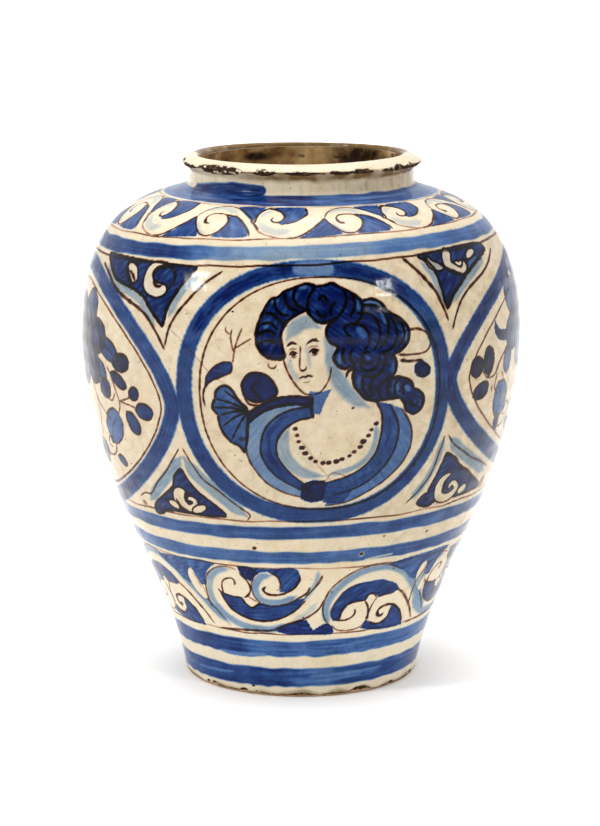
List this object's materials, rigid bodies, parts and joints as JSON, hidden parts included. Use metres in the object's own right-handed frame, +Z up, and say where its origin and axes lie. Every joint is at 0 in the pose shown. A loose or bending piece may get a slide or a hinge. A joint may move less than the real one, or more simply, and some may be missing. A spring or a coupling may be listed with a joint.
{
  "type": "apothecary jar",
  "caption": "Ovoid tin-glazed apothecary jar with high shoulders, short neck, turned-out lip and flat foot.",
  "frame": {"origin": "centre of the standing face", "axes": "+Z up along the axis of the wheel; -Y towards the front panel with the bust"},
  "size_m": [0.2494, 0.2494, 0.3],
  "materials": {
    "clay": "bare fired earthenware",
    "tin_glaze": "glossy white tin glaze painted in cobalt blue and manganese brown",
    "lip_glaze": "glossy white tin glaze, worn at the edge",
    "lead_glaze": "thin glossy brown lead glaze"
  },
  "bodies": {
    "root": {"clay_body": "clay", "outer_glaze": "tin_glaze", "lip_glaze": "lip_glaze", "inner_glaze": "lead_glaze"}
  },
  "joints": []
}
